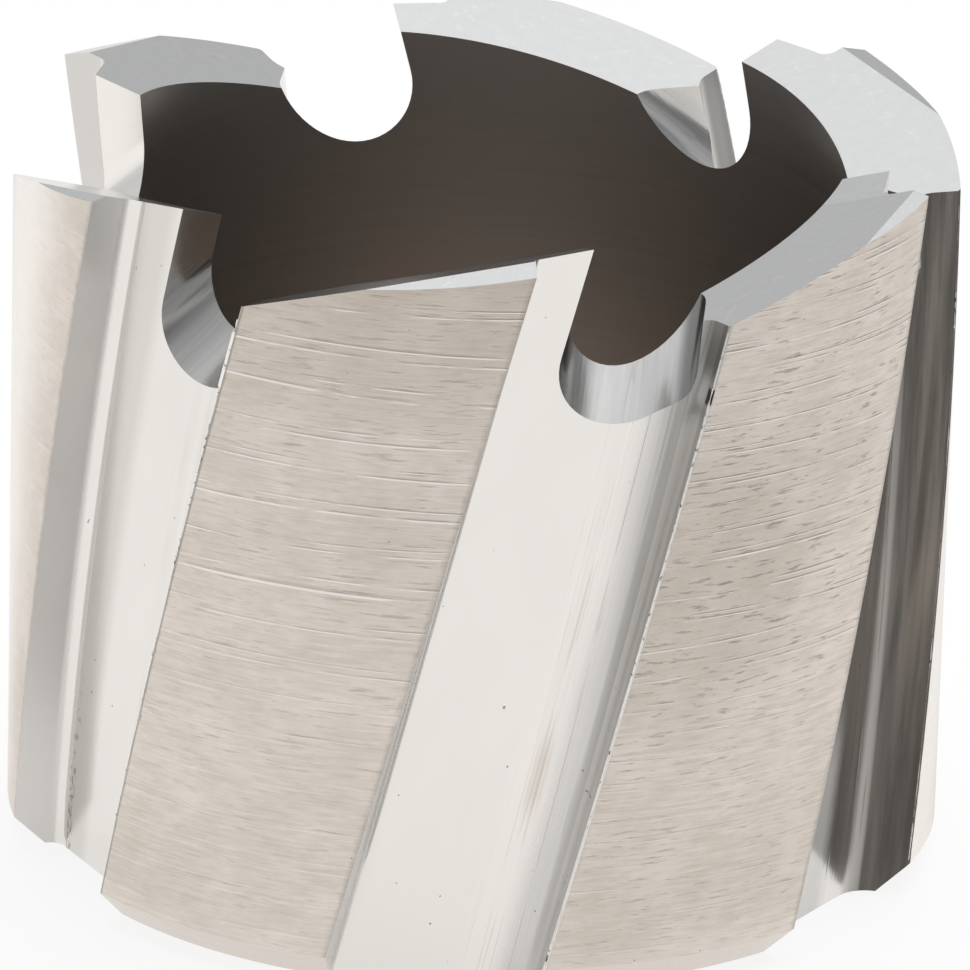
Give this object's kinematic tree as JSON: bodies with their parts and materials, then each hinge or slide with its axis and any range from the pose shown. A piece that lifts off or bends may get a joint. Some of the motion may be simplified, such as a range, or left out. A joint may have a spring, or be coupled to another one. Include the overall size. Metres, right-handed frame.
{
  "type": "annular cutter",
  "caption": "Short hollow steel cutter crown with helical flutes, round-bottomed gullets and bevelled teeth, on a flat web with a plain arbor hole",
  "frame": {"origin": "centre of the flat back face, on the cutter's axis", "axes": "+Z runs along the cutter's axis from the back towards the teeth, and -Y passes through the outer tip of the first tooth. Seen from the teeth, the cutter cuts as it turns anticlockwise."},
  "size_m": [0.0318, 0.0318, 0.0253],
  "materials": {
    "ground_steel": "ground lands with fine scratches round the body, polished flutes, dark bore"
  },
  "bodies": {
    "root": {"cutter_body": "ground_steel"}
  },
  "joints": []
}
